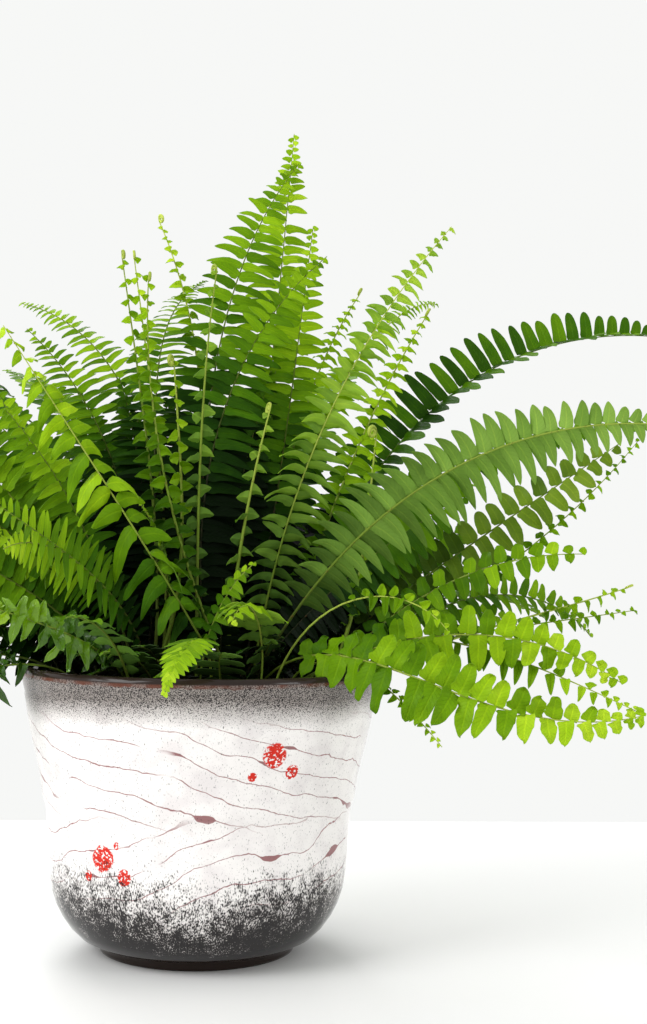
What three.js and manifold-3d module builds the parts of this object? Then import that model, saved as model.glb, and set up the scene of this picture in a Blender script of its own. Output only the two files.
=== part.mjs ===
// A boston fern growing in a glazed ceramic planter.
// Millimetres, +Z up. The origin is the centre of the pot's foot, on the surface that it stands on.
// +X is the viewer's right and -Y points at the viewer.
import * as THREE from "three";
import { mergeVertices } from "three/addons/utils/BufferGeometryUtils.js";
import Module from "manifold-3d";

const wasm = await Module();
wasm.setup();

// Driving dimensions of the pot and the soil
const POT_SIDES = 36;
const FLOOR_Z = 12; // top of the pot's floor
const SOIL_SIDES = 24;
const SOIL_EDGE_Z = 160; // where the soil meets the pot's wall
const SOIL_TOP_Z = 164; // the level top that the fronds stand in
const SOIL_TOP_RADIUS = 98;
const SEAT_GAP = 0.35; // between pieces that touch

// Driving dimensions of a frond
const ROOT_DEPTH = 13; // how far a stalk goes down into the soil
const STALK_WIDTH = 2.6;
const STALK_THICKNESS = 2.2;
const TIP_WIDTH = 1.3;
const TIP_THICKNESS = 1.1;
const STALK_GROWTH = { mature: 1, round: 1, young: 1, curled: 1.1, crozier: 1.4 };
const BARE_STEPS = 3; // straight lengths in the bare part of a stalk
const LATE_BEND = 1.4; // powers that place the arch, sweep and lift along the stem
const EARLY_BEND = 3;
const SWEEP_POWER = 2;
const LIFT_POWER = 2;
const PATH_STEPS = 160;

// Driving dimensions of the leaflets
const BLADE_THICKNESS = 0.75;
const FORWARD_LEAN = 14; // degrees from square to the stem towards the frond's tip
const FOOT_WIDTH = 0.5; // blade width at its foot, as a share of the widest
const FULL_WIDTH_AT = 0.28; // share of the blade where it is widest
const TAPER_POWER = { mature: 3.2, round: 3.2, young: 2.2, curled: 2.2, crozier: 2.2 };
const LEAST_WIDTH = { mature: 0.1, round: 0.1, young: 0.16, curled: 0.16, crozier: 0.16 };
const REACH_SPREAD = 0.06; // random change of a leaflet's length, as a share of it

// Driving dimensions of a coiled young tip
const CURL_RADIUS = { curled: 3.6, crozier: 4.5 };
const CURL_TURN = 290; // degrees
const CURL_TIGHTENS = 0.35; // share of the radius that is lost by the end
const CURL_STEPS = 6;
const CURL_GROWTH = 1.5;

const glaze = new THREE.MeshStandardMaterial({ color: 0xe9e4e2, roughness: 0.18, metalness: 0 });
const pottingMix = new THREE.MeshStandardMaterial({ color: 0x2a1d14, roughness: 0.95, metalness: 0 });
const matureLeaf = new THREE.MeshStandardMaterial({ color: 0x3f7d1c, roughness: 0.5, metalness: 0 });
const youngLeaf = new THREE.MeshStandardMaterial({ color: 0x8fc63a, roughness: 0.5, metalness: 0 });

// The pot's section as radius and height: from the middle of the floor up the inside, over the rolled rim,
// down past the soft ridge round the belly to the turned foot, and back to the middle underneath.
const POT_PROFILE = [
  [0, FLOOR_Z],
  [62, FLOOR_Z],
  [84, 24],
  [92, 42],
  [97.5, 98],
  [105, 136],
  [114, 186],
  [116.5, 188.5],
  [119.5, 186.5],
  [120, 181],
  [110.5, 134],
  [105.5, 111],
  [103.5, 101],
  [101.3, 91],
  [100.3, 70],
  [97.5, 40],
  [90.5, 25],
  [78.5, 11],
  [66, 6],
  [65, 0],
  [0, 0],
];

// The soil's section: from the middle of the pot's floor up the inside of its wall and in over the top.
const SOIL_PROFILE = [
  [0, FLOOR_Z + SEAT_GAP],
  [61.5, FLOOR_Z + SEAT_GAP],
  [83, 24.4],
  [91.2, 42],
  [96.6, 98],
  [104.1, 136],
  [108.4, SOIL_EDGE_Z],
  [SOIL_TOP_RADIUS, SOIL_TOP_Z],
  [0, SOIL_TOP_Z],
];

// The fronds that were placed by eye. Each has the place where it leaves the soil, its azimuth (0 is the
// viewer's right, 90 is away), its lean from upright at the soil, its length, how far it arches over and
// sweeps sideways by its tip, how far its blade is turned about the stem and folded upwards, the bare length
// of its stalk, half the blade's width, its pairs of leaflets, its kind, and whether it bends late, towards
// its tip, or early, just above the soil. One frond has a last value, how far its tip lifts again. Angles are
// in degrees.
const FRONDS = [
  // name, x, y, azimuth, lean, length, arch, sweep, turn, fold, bare, half width, pairs, kind, bend

  // The tall centre
  ["tall_back", 14, 22, 46, 17, 414, -10, 4, 40, 5, 45, 33, 18, "mature", "early"],
  ["tall_left", 4, 13, 56, -9, 410, 51, -19, 45, 5, 45, 36, 18, "mature", "late"],
  ["tall_front", 8, -4, 22, -11, 333, 60, -10, 72, 5, 45, 32, 15, "mature", "late"],
  ["tall_right", 23, 10, 24, 16, 336, -9, -5, 66, 5, 45, 28, 15, "mature", "early"],
  ["left_middle", -39, 19, 109, -16, 352, 82, -57, 0, 5, 50, 28, 16, "mature", "late"],
  ["back_spire", -24, 61, 151, -15, 348, 42, -2, -30, 5, 230, 16, 8, "curled", "late"],

  // The right side
  ["bright_right", 31, -18, -15, 8, 347, 37, -17, -62, 5, 45, 28, 16, "young", "late"],
  ["arching_thin", 56, 27, 30, -5, 405, 92, 35, 53, 8, 60, 18, 15, "young", "late"],
  ["curled_right", 49, 0, 10, 14, 291, 18, 3, 68, 8, 60, 18, 12, "curled", "late"],
  ["curled_back", 38, 39, 53, 7, 323, 32, -15, 45, 5, 60, 18, 12, "curled", "late"],
  ["long_dark_right", 56, 10, 23, 14, 442, 84, -26, 36, 36, 60, 33, 17, "round", "late"],
  ["long_wide_right", 25, -27, -28, 29, 370, 72, 6, -54, 15, 45, 35, 17, "mature", "late"],
  ["right_middle", 48, -7, -10, 44, 290, 11, -1, 78, 5, 50, 22, 14, "round", "early"],
  ["right_thin", 54, 15, 9, 64, 338, -20, 16, 60, 12, 60, 12, 13, "young", "late"],
  ["right_small", 65, -25, -20, 40, 222, 51, -11, 66, 10, 50, 15, 9, "young", "late"],
  ["right_arc", 86, -5, 4, 37, 233, 98, 27, 54, 26, 60, 22, 11, "mature", "late"],
  ["right_low", 39, -26, -23, 56, 253, 69, 16, 72, 5, 62, 20, 11, "round", "late"],
  ["right_front_low", 31, -38, -44, 22, 285, 114, 50, 62, 5, 62, 28, 13, "round", "early", 60],
  ["right_lowest", 69, -6, -26, 47, 237, 35, 39, 66, 5, 74, 12, 10, "young", "early"],
  ["right_front_wisp", 53, -44, -40, -4, 160, 129, -17, 24, 0, 90, 7, 6, "young", "early"],

  // The left side
  ["left_front_long", 25, -50, -170, 29, 286, 5, -2, -86, 0, 45, 23, 14, "round", "early"],
  ["left_dark", -42, 14, 160, -2, 282, 52, -2, -46, 10, 50, 30, 14, "mature", "late"],
  ["left_back_thin", -44, 41, 141, -16, 349, 94, 3, -38, 5, 70, 22, 13, "mature", "late"],
  ["left_broad", -58, 2, 180, 18, 330, 62, -8, -30, 8, 55, 33, 15, "mature", "late"],
  ["left_leaning", -43, -20, -164, 12, 214, 32, 2, -78, 5, 50, 24, 11, "mature", "late"],
  ["left_low", -66, -28, -162, 5, 200, 112, -6, -30, 5, 55, 24, 11, "mature", "late"],
  ["left_front_fine", -37, -39, -140, -16, 193, 78, 4, -70, 12, 45, 28, 12, "mature", "early"],
  ["left_front_low", -40, -48, -135, 19, 145, 56, 3, -84, 5, 45, 16, 9, "round", "early"],

  // Young shoots that stand up among the others
  ["left_upright", -35, -8, 178, -9, 301, 18, 0, -70, 5, 60, 15, 12, "curled", "early"],
  ["left_slender", 26, -45, -180, 24, 288, -26, 4, -82, 5, 60, 14, 12, "curled", "late"],
  ["front_slender", -3, -44, -81, -7, 284, 30, 10, 10, 5, 60, 15, 11, "curled", "late"],
  ["front_crozier", -45, -35, 6, 39, 232, -44, 0, 60, 0, 70, 7, 9, "crozier", "early"],
  ["centre_crozier", 14, -28, -25, 4, 197, 12, -5, -47, 5, 60, 7, 7, "crozier", "late"],
  ["right_crozier", 73, -36, -2, 34, 187, -29, -9, 54, 0, 60, 7, 7, "crozier", "early"],

  // Short young fronds at the front
  ["front_drooping", 7, -71, -95, 20, 134, 145, -36, 0, -8, 62, 19, 10, "young", "late"],
  ["front_small_right", 35, -67, -111, -30, 113, 169, -2, 0, -5, 45, 17, 7, "young", "late"],
  ["front_small_left", -28, -28, -123, -21, 148, 80, 3, -52, 0, 70, 14, 8, "young", "late"],
  ["front_small_centre", -2, -62, -29, 1, 106, 51, 1, 60, 0, 40, 13, 7, "young", "late"],
];

// The rings of fronds that fill the plant's back and its left side. Each has its first and last azimuth, its
// count and its radius at the soil, and then the lean, length, arch, half width and pairs of its fronds.
const RINGS = [
  ["upper", 66, 152, 4, 62, 16, 340, 56, 30, 15],
  ["middle", 40, 185, 6, 72, 32, 300, 60, 26, 13],
  ["lower", 28, 180, 7, 82, 44, 240, 76, 23, 11],
  ["skirt", -172, -120, 2, 88, 20, 110, 70, 16, 7],
];
const RING_BARE = 60;
const SKIRT_BARE = 30;
const RING_FOLD = 8;
const ANGLE_SPREAD = 4; // largest random change, in degrees
const LENGTH_SPREAD = 0.08;

const radians = THREE.MathUtils.degToRad;

// A small seeded generator, so that every build draws the same numbers.
function seededRandom(seed) {
  let state = seed;
  return () => {
    state = (state * 16807) % 2147483647;
    return state / 2147483647;
  };
}

// The direction that lies an angle away from one direction, towards another at right angles to it.
function swing(from, towards, angle) {
  return from.clone().multiplyScalar(Math.cos(angle)).addScaledVector(towards, Math.sin(angle));
}

function closedGeometry(positions, faces) {
  const geometry = new THREE.BufferGeometry();
  geometry.setAttribute("position", new THREE.Float32BufferAttribute(positions, 3));
  geometry.setIndex(faces);
  return geometry;
}

function turned(profile, sides) {
  const outline = profile.map(([radius, height]) => new THREE.Vector2(radius, height));
  return new THREE.LatheGeometry(outline, sides).rotateX(Math.PI / 2);
}

function placedFronds() {
  return FRONDS.map((row) => {
    const [name, x, y, azimuth, lean, length, arch, sweep, turn, fold, bare, ...rest] = row;
    const [halfWidth, pairs, kind, bend, lift = 0] = rest;
    const stem = { x, y, azimuth, lean, length, arch, sweep, turn, bend, lift };
    return { name, ...stem, fold, bare, halfWidth, pairs, kind };
  });
}

function ringFronds() {
  const random = seededRandom(2718);
  const vary = (most) => most * (2 * random() - 1);
  const made = [];
  for (const [ring, from, to, count, radius, lean, length, arch, halfWidth, pairs] of RINGS) {
    for (let i = 0; i < count; i++) {
      const azimuth = THREE.MathUtils.lerp(from, to, i / (count - 1)) + vary(ANGLE_SPREAD);
      made.push({
        name: ring + "_" + (i + 1),
        x: radius * Math.cos(radians(azimuth)),
        y: radius * Math.sin(radians(azimuth)),
        azimuth,
        lean: lean + vary(ANGLE_SPREAD),
        length: length * (1 + vary(LENGTH_SPREAD)),
        arch,
        sweep: 3 * vary(ANGLE_SPREAD),
        turn: 2 * vary(ANGLE_SPREAD),
        fold: RING_FOLD,
        bare: ring === "skirt" ? SKIRT_BARE : RING_BARE,
        halfWidth,
        pairs,
        kind: i % 2 ? "mature" : "round",
        bend: "late",
        lift: 0,
      });
    }
  }
  return made;
}

// The stem's direction at a share of its length, with the blade's left side and its upper face there.
function stemFrame({ azimuth, lean, arch, sweep, turn, bend, lift }, share) {
  const bent = bend === "early" ? 1 - (1 - share) ** EARLY_BEND : share ** LATE_BEND;
  const polar = radians(lean + arch * bent - lift * share ** LIFT_POWER);
  const around = radians(azimuth + sweep * share ** SWEEP_POWER);
  const direction = new THREE.Vector3(
    Math.sin(polar) * Math.cos(around),
    Math.sin(polar) * Math.sin(around),
    Math.cos(polar),
  );
  const level = new THREE.Vector3(-Math.sin(around), Math.cos(around), 0);
  const above = new THREE.Vector3().crossVectors(direction, level);
  const roll = radians(turn);
  return { share, direction, side: swing(level, above, roll), upper: swing(above, level, -roll) };
}

// Frames along a frond, from its buried end through the bare stalk to its tip, one for each pair of leaflets.
function stations(frond) {
  const { x, y, length, bare, pairs, kind } = frond;
  const shares = [];
  for (let i = 0; i <= BARE_STEPS; i++) shares.push(((i / BARE_STEPS) * bare) / length);
  for (let i = 1; i <= pairs; i++) shares.push(THREE.MathUtils.lerp(bare / length, 1, i / pairs));
  const root = stemFrame(frond, 0);
  const point = new THREE.Vector3(x, y, SOIL_TOP_Z);
  const list = [{ ...root, point: point.clone().addScaledVector(root.direction, -ROOT_DEPTH) }];
  const step = 1 / PATH_STEPS;
  let reached = 0;
  for (const share of shares) {
    while (reached + step <= share) {
      point.addScaledVector(stemFrame(frond, reached + step / 2).direction, step * length);
      reached += step;
    }
    const here = stemFrame(frond, share);
    list.push({ ...here, point: point.clone().addScaledVector(here.direction, (share - reached) * length) });
  }
  if (kind in CURL_RADIUS) addCurl(list, kind);
  return list;
}

// A young tip coils over its upper face and tightens as it goes.
function addCurl(list, kind) {
  const last = list[list.length - 1];
  const turn = radians(CURL_TURN) / CURL_STEPS;
  const point = last.point.clone();
  for (let i = 1; i <= CURL_STEPS; i++) {
    const radius = CURL_RADIUS[kind] * (1 - (CURL_TIGHTENS * i) / CURL_STEPS);
    point.addScaledVector(swing(last.direction, last.upper, turn * (i - 0.5)), radius * turn);
    list.push({
      share: 1,
      point: point.clone(),
      direction: swing(last.direction, last.upper, turn * i),
      side: last.side,
      upper: swing(last.upper, last.direction, -turn * i),
      coiled: true,
    });
  }
}

// Half the blade's width along it, as a share of the widest.
function bladeShape(along, kind) {
  const rise = FOOT_WIDTH + (1 - FOOT_WIDTH) * Math.min(1, along / FULL_WIDTH_AT);
  const fall = (1 - along ** TAPER_POWER[kind]) ** 0.9;
  return Math.max(LEAST_WIDTH[kind], rise * fall);
}

// The outer corners of one leaflet: one for a pointed leaflet, two for a round-ended one.
function leafletTips(from, to, hand, reach, { fold, kind }) {
  const raise = radians(fold);
  const out = swing(from.side.clone().multiplyScalar(hand), from.upper, raise);
  const upper = swing(from.upper, from.side, -hand * raise);
  const middle = from.point.clone().lerp(to.point, 0.5);
  const tip = middle.addScaledVector(swing(out, from.direction, radians(FORWARD_LEAN)), reach);
  if (kind !== "round") return [{ point: tip, upper }];
  const half = Math.min(0.26 * from.point.distanceTo(to.point), 0.2 * reach);
  return [-half, half].map((shift) => ({
    point: tip.clone().addScaledVector(from.direction, shift),
    upper,
  }));
}

// One frond as a single closed body: a four-sided stem whose two sides run out into thin leaflets.
function frondGeometry(frond, seed) {
  const { halfWidth, pairs, kind } = frond;
  const list = stations(frond);
  const random = seededRandom(seed);
  const positions = [];
  const faces = [];
  const vertex = (v) => positions.push(v.x, v.y, v.z) / 3 - 1;
  const offset = (at, upper, height) => vertex(at.clone().addScaledVector(upper, height));
  const quad = (a, b, c, d) => faces.push(a, c, b, a, d, c);

  // A stem section has a left and a right side, each with a top and a bottom corner.
  const sections = list.map(({ point, side, upper, share, coiled }) => {
    const growth = coiled ? CURL_GROWTH : STALK_GROWTH[kind];
    const across = (growth * THREE.MathUtils.lerp(STALK_WIDTH, TIP_WIDTH, share)) / 2;
    const over = (growth * THREE.MathUtils.lerp(STALK_THICKNESS, TIP_THICKNESS, share)) / 2;
    return [1, -1].map((hand) => {
      const edge = point.clone().addScaledVector(side, hand * across);
      return { top: offset(edge, upper, over), bottom: offset(edge, upper, -over) };
    });
  });

  // The rim of a leaflet, or of a bare length of stem, is walled from its top edge to its bottom edge.
  const addSide = (hand, tops, bottoms) => {
    for (let k = 0; k < tops.length - 1; k++) {
      const wall = [tops[k], bottoms[k], bottoms[k + 1], tops[k + 1]];
      quad(...(hand > 0 ? wall : wall.reverse()));
    }
    for (let k = 1; k < tops.length - 1; k++) {
      const above = [tops[0], tops[k + 1], tops[k]];
      const below = [bottoms[0], bottoms[k], bottoms[k + 1]];
      faces.push(...(hand > 0 ? above : above.reverse()), ...(hand > 0 ? below : below.reverse()));
    }
  };

  for (let i = 0; i < list.length - 1; i++) {
    const [left, right] = sections[i];
    const [nextLeft, nextRight] = sections[i + 1];
    quad(right.top, left.top, nextLeft.top, nextRight.top);
    quad(left.bottom, right.bottom, nextRight.bottom, nextLeft.bottom);
    const along = (i - BARE_STEPS - 0.5) / pairs;
    [1, -1].forEach((hand, k) => {
      const near = sections[i][k];
      const far = sections[i + 1][k];
      const tips = [];
      if (along > 0 && along < 1) {
        const reach = halfWidth * bladeShape(along, kind) * (1 + REACH_SPREAD * (2 * random() - 1));
        tips.push(...leafletTips(list[i], list[i + 1], hand, reach, frond));
      }
      const tops = tips.map(({ point, upper }) => offset(point, upper, BLADE_THICKNESS / 2));
      const bottoms = tips.map(({ point, upper }) => offset(point, upper, -BLADE_THICKNESS / 2));
      addSide(hand, [near.top, ...tops, far.top], [near.bottom, ...bottoms, far.bottom]);
    });
  }
  const [left, right] = sections[0];
  quad(left.top, right.top, right.bottom, left.bottom);
  const [lastLeft, lastRight] = sections[sections.length - 1];
  quad(lastRight.top, lastLeft.top, lastLeft.bottom, lastRight.bottom);
  return closedGeometry(positions, faces);
}

// A plain slanting hole for the foot of a stalk, wider than it by the seat gap.
function stalkHole(frond) {
  const [buried, surface] = stations(frond);
  const { direction, side, upper } = buried;
  const across = (STALK_WIDTH / 2) * STALK_GROWTH[frond.kind] + SEAT_GAP;
  const over = (STALK_THICKNESS / 2) * STALK_GROWTH[frond.kind] + SEAT_GAP;
  const bottom = buried.point.clone().addScaledVector(direction, -SEAT_GAP);
  const mouth = surface.point.clone().addScaledVector(direction, ROOT_DEPTH / 2);
  const positions = [];
  for (const end of [bottom, mouth]) {
    for (const [a, b] of [[1, 1], [-1, 1], [-1, -1], [1, -1]]) {
      const corner = end.clone().addScaledVector(side, a * across).addScaledVector(upper, b * over);
      positions.push(...corner.toArray());
    }
  }
  const faces = [0, 2, 1, 0, 3, 2, 4, 5, 6, 4, 6, 7];
  for (let k = 0; k < 4; k++) {
    const next = (k + 1) % 4;
    faces.push(k, next + 4, k + 4, k, next, next + 4);
  }
  return closedGeometry(positions, faces);
}

function toSolid(geometry) {
  const bare = geometry.clone();
  bare.deleteAttribute("normal");
  bare.deleteAttribute("uv");
  const merged = mergeVertices(bare, 1e-4);
  const vertProperties = merged.attributes.position.array;
  const triVerts = new Uint32Array(merged.index.array);
  return new wasm.Manifold(new wasm.Mesh({ numProp: 3, vertProperties, triVerts }));
}

// The soil: one plug that fills the pot, with a hole for each stalk.
function soilGeometry(fronds) {
  let solid = toSolid(turned(SOIL_PROFILE, SOIL_SIDES));
  for (const frond of fronds) solid = solid.subtract(toSolid(stalkHole(frond)));
  const made = solid.getMesh();
  return closedGeometry(made.vertProperties, Array.from(made.triVerts));
}

const fern = new THREE.Group();

function addPiece(name, geometry, material) {
  const mesh = new THREE.Mesh(geometry, material);
  mesh.name = name;
  fern.add(mesh);
}

const fronds = [...placedFronds(), ...ringFronds()];
addPiece("pot", turned([...POT_PROFILE].reverse(), POT_SIDES), glaze);
addPiece("soil", soilGeometry(fronds), pottingMix);
fronds.forEach((frond, i) => {
  const leaf = ["mature", "round"].includes(frond.kind) ? matureLeaf : youngLeaf;
  addPiece("frond_" + frond.name, frondGeometry(frond, 11 + i), leaf);
});

export default fern;
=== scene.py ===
import collections
import math
import random

import bmesh
import bpy
from mathutils import Matrix, Vector, noise
from mathutils.bvhtree import BVHTree


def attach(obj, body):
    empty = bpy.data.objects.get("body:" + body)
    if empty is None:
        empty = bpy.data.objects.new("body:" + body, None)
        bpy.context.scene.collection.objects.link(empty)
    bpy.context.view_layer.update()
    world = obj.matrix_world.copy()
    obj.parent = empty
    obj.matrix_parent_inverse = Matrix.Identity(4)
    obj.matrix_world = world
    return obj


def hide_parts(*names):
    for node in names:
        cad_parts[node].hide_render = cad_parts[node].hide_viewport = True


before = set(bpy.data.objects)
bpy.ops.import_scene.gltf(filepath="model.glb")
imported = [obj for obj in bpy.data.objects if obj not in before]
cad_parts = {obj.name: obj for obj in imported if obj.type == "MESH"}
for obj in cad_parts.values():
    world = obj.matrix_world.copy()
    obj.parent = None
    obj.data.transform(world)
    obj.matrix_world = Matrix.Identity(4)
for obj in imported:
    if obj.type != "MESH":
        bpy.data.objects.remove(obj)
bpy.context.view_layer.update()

# The view: a camera about a metre in front of the planter and a little above its rim, turned slightly to the
# right and up and rolled by a degree. Its picture is upright, so the lens is worked out from the long side.
CAMERA_BACK = 1.050
CAMERA_HEIGHT = 0.264
CAMERA_YAW = 4.4
CAMERA_PITCH = 1.6
CAMERA_ROLL = 0.9
PICTURE_HEIGHT = 1024
FOCAL_PIXELS = 1545

camera = bpy.data.objects.new("camera", bpy.data.cameras.new("camera"))
bpy.context.scene.collection.objects.link(camera)
bpy.context.scene.camera = camera
camera.data.lens = camera.data.sensor_width * FOCAL_PIXELS / PICTURE_HEIGHT
turn_right = Matrix.Rotation(math.radians(-CAMERA_YAW), 4, "Z")
look_up = Matrix.Rotation(math.radians(90 + CAMERA_PITCH), 4, "X")
roll = Matrix.Rotation(math.radians(CAMERA_ROLL), 4, "Z")
camera.matrix_world = Matrix.Translation((0, -CAMERA_BACK, CAMERA_HEIGHT)) @ turn_right @ look_up @ roll

# The light: a bright white room, a large soft window high on the left, a slightly weaker one behind the plant
# that shines through its leaves, and a faint lamp on the right.
ROOM_COLOUR = (0.93, 0.937, 0.925, 1)
SOFT_LIGHTS = [
    # name, place and size in metres, watts
    ("window_left", (-1.5, -0.9, 1.35), 1.1, 30),
    ("window_back", (-0.5, 1.5, 1.5), 1.2, 26),
    ("lamp_right", (1.5, -1.0, 0.9), 0.5, 5),
]
LIT_POINT = Vector((0, 0, 0.25))

room = bpy.data.worlds.new("room")
room.use_nodes = True
room.node_tree.nodes["Background"].inputs["Color"].default_value = ROOM_COLOUR
bpy.context.scene.world = room
bpy.context.scene.view_settings.view_transform = "Standard"
for name, place, size, watts in SOFT_LIGHTS:
    light = bpy.data.lights.new(name, "AREA")
    light.size = size
    light.energy = watts
    lamp = bpy.data.objects.new(name, light)
    bpy.context.scene.collection.objects.link(lamp)
    lamp.location = place
    lamp.rotation_mode = "QUATERNION"
    lamp.rotation_quaternion = (LIT_POINT - Vector(place)).to_track_quat("-Z", "Y")

# The tabletop: a flat board with a plain matt white finish. The planter stands on it, and its far edge shows
# as a line behind the planter.
TABLE_FRONT = -1.7
TABLE_BACK = 0.486
TABLE_HALF_WIDTH = 2.2
TABLE_WHITE = (0.76, 0.76, 0.755, 1)
TABLE_ROUGHNESS = 0.55


def finish_of(name):
    """A new material with one Principled node. Returns the material, its node tree and that node."""
    material = bpy.data.materials.new(name)
    material.use_nodes = True
    return material, material.node_tree, material.node_tree.nodes["Principled BSDF"]


def feed(tree, node, inputs):
    """Gives each socket of a node, by name or number, a value or another node's socket."""
    for socket, value in inputs.items():
        if isinstance(value, bpy.types.NodeSocket):
            tree.links.new(value, node.inputs[socket])
        else:
            node.inputs[socket].default_value = value


def shade(tree, kind, inputs=None, output=0, **settings):
    """Adds a shader node with its settings and inputs, and returns one of its outputs."""
    made = tree.nodes.new("ShaderNode" + kind)
    for name, value in settings.items():
        setattr(made, name, value)
    feed(tree, made, inputs or {})
    return made.outputs[output]


def coat(tree, surface, colour, roughness, shine=0.5, bump=None):
    """Sets the look of the Principled node. bump has the inputs of a Bump node."""
    feed(tree, surface, {"Base Color": colour, "Roughness": roughness, "Specular IOR Level": shine})
    if bump:
        feed(tree, surface, {"Normal": shade(tree, "Bump", bump)})


def piece_from(name, mesh_maker, materials):
    """Turns a finished bmesh into an object at the origin, with its materials in order."""
    mesh = bpy.data.meshes.new(name)
    mesh_maker.to_mesh(mesh)
    mesh_maker.free()
    made = bpy.data.objects.new(name, mesh)
    bpy.context.scene.collection.objects.link(made)
    for material in materials:
        mesh.materials.append(material)
    return made


table_white, tree, surface = finish_of("table_white")
coat(tree, surface, TABLE_WHITE, TABLE_ROUGHNESS)
board = bmesh.new()
bmesh.ops.create_grid(board, x_segments=1, y_segments=1, size=1)
for corner in board.verts:
    corner.co.x *= TABLE_HALF_WIDTH
    corner.co.y = TABLE_BACK if corner.co.y > 0 else TABLE_FRONT
tabletop = piece_from("tabletop", board, [table_white])

# The planter: one piece of stoneware, thrown on a wheel, with a turned foot, a soft step round its belly and
# a rolled lip. It stands loose on its foot. Here its profile is spun round the pot's axis.
MM = 0.001
MERGE_DISTANCE = 0.01 * MM
POT_STEPS = 128
POT_PROFILE = [
    # radius and height in millimetres, from the middle underneath up the outside and down to the floor inside
    (0, 0), (63.8, 0), (64.8, 0.5), (65.4, 2.2), (66, 5.4), (68.5, 6.6), (73, 8.2), (78.5, 11), (85, 17.3),
    (90.5, 25), (94.6, 33), (97.5, 42), (99.2, 54), (100.3, 70), (100.9, 82), (101.5, 91), (102.2, 96),
    (103.3, 99.6), (104.4, 102.6), (105.1, 107), (105.7, 112), (107.1, 120), (108.9, 128), (110.6, 134.5),
    (113.1, 145), (115.3, 156), (116.9, 166), (117.5, 169.6), (117.4, 171.6), (118.3, 175), (119.3, 179.4),
    (120, 182.4), (120, 185), (119.3, 187), (118.1, 188.2), (116.5, 188.5), (115.1, 187.9), (114.1, 186),
    (111.5, 172), (108.4, 156), (105, 136), (97.5, 98), (92, 42), (84, 24), (76, 17), (62, 12.6), (0, 12),
]
INSIDE_FROM = 38  # the first of those points that lies on the inner wall
TURNED_IN = 0.5  # how far a face has to point inwards or up to be part of the inside


def spun_body(profile, steps):
    """A closed round body from its profile, which is a list of radii and heights in millimetres."""
    body = bmesh.new()
    chain = [body.verts.new((radius * MM, 0, height * MM)) for radius, height in profile]
    for lower, upper in zip(chain, chain[1:]):
        body.edges.new((lower, upper))
    geom = body.verts[:] + body.edges[:]
    turn = {"cent": (0, 0, 0), "axis": (0, 0, 1), "angle": math.tau, "steps": steps}
    bmesh.ops.spin(body, geom=geom, use_merge=True, **turn)
    bmesh.ops.remove_doubles(body, verts=body.verts, dist=MERGE_DISTANCE)
    bmesh.ops.recalc_face_normals(body, faces=body.faces)
    return body


clay = spun_body(POT_PROFILE, POT_STEPS)
inner_height = POT_PROFILE[INSIDE_FROM][1] * MM
for face in clay.faces:
    face.smooth = True
    middle = face.calc_center_median()
    outward = Vector((middle.x, middle.y, 0)).normalized()
    facing_in = face.normal.dot(outward) < -TURNED_IN or face.normal.z > TURNED_IN
    face.material_index = 1 if facing_in and middle.z < inner_height else 0

# Its glaze: white over a dark stoneware body. It breaks to a dense dark speckle at the foot and below the
# lip, and it carries thin dusty red veins and a few round red splashes, in a loose layout of their own.
GLAZE_WHITE = (0.865, 0.835, 0.820, 1)
GLAZE_LILAC = (0.56, 0.50, 0.52, 1)
GLAZE_GREY = (0.27, 0.235, 0.215, 1)
GLAZE_DARK = (0.012, 0.011, 0.012, 1)
GLAZE_BROWN = (0.022, 0.014, 0.011, 1)
GLAZE_RUST = (0.105, 0.030, 0.015, 1)
VEIN_COLOUR = (0.230, 0.055, 0.060, 1)
SPLASH_RED = (0.62, 0.022, 0.010, 1)
GLAZE_SHINE = 0.20
GLAZE_ROUGHNESS = (0.07, 0.16)
GLAZE_BUMP = {"Strength": 0.25, "Distance": 0.0004}

glaze, tree, surface = finish_of("reactive_glaze")


def calc(tree, operation, first, second=0.0):
    return shade(tree, "Math", {0: first, 1: second}, operation=operation)


def plus(tree, first, second):
    return calc(tree, "ADD", first, second)


def minus(tree, first, second):
    return calc(tree, "SUBTRACT", first, second)


def times(tree, first, second):
    return calc(tree, "MULTIPLY", first, second)


def slope(tree, value, start, end, low=0.0, high=1.0, **settings):
    """Runs evenly from low to high while value goes from start to end."""
    limits = {"Value": value, "From Min": start, "From Max": end, "To Min": low, "To Max": high}
    return shade(tree, "MapRange", limits, **settings)


def ease(tree, value, start, end, low=0.0, high=1.0):
    """Runs smoothly from low to high while value goes from start to end."""
    return slope(tree, value, start, end, low, high, interpolation_type="SMOOTHSTEP")


def blend(tree, share, under, over):
    return shade(tree, "Mix", {0: share, 6: under, 7: over}, output=2, data_type="RGBA")


def clouds(tree, place, scale, shift=0.0, detail=2.0):
    """A soft noise between 0 and 1, moved along each axis by shift so that no two are alike."""
    moved = shade(tree, "Mapping", {"Vector": place, "Location": (shift, shift, shift)})
    return shade(tree, "TexNoise", {"Vector": moved, "Scale": scale, "Detail": detail})


place = shade(tree, "TexCoord", output="Object")
split = tree.nodes.new("ShaderNodeSeparateXYZ")
tree.links.new(place, split.inputs[0])
height = split.outputs["Z"]
angle = calc(tree, "ARCTAN2", split.outputs["X"], times(tree, split.outputs["Y"], -1.0))

# The veins are threads of iron that run under the glaze in two belts, one falling and one rising.
VEIN_BELTS = [
    # spacings climbed in one turn, spacing in metres, sway, noise shift, lowest and highest place in metres
    (12, 0.0145, 2.5, 11.0, 0.090, 0.166),
    (-9, 0.0165, 2.4, 23.0, 0.040, 0.104),
]
VEIN_HALF_WIDTHS = (0.00018, 0.0024)
VEIN_RAGGEDNESS = 0.0005
VEIN_EDGE = 0.00032
VEIN_KINKS = 0.35
VEIN_OPACITY = 0.88
BELT_FADE = 0.012


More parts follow.
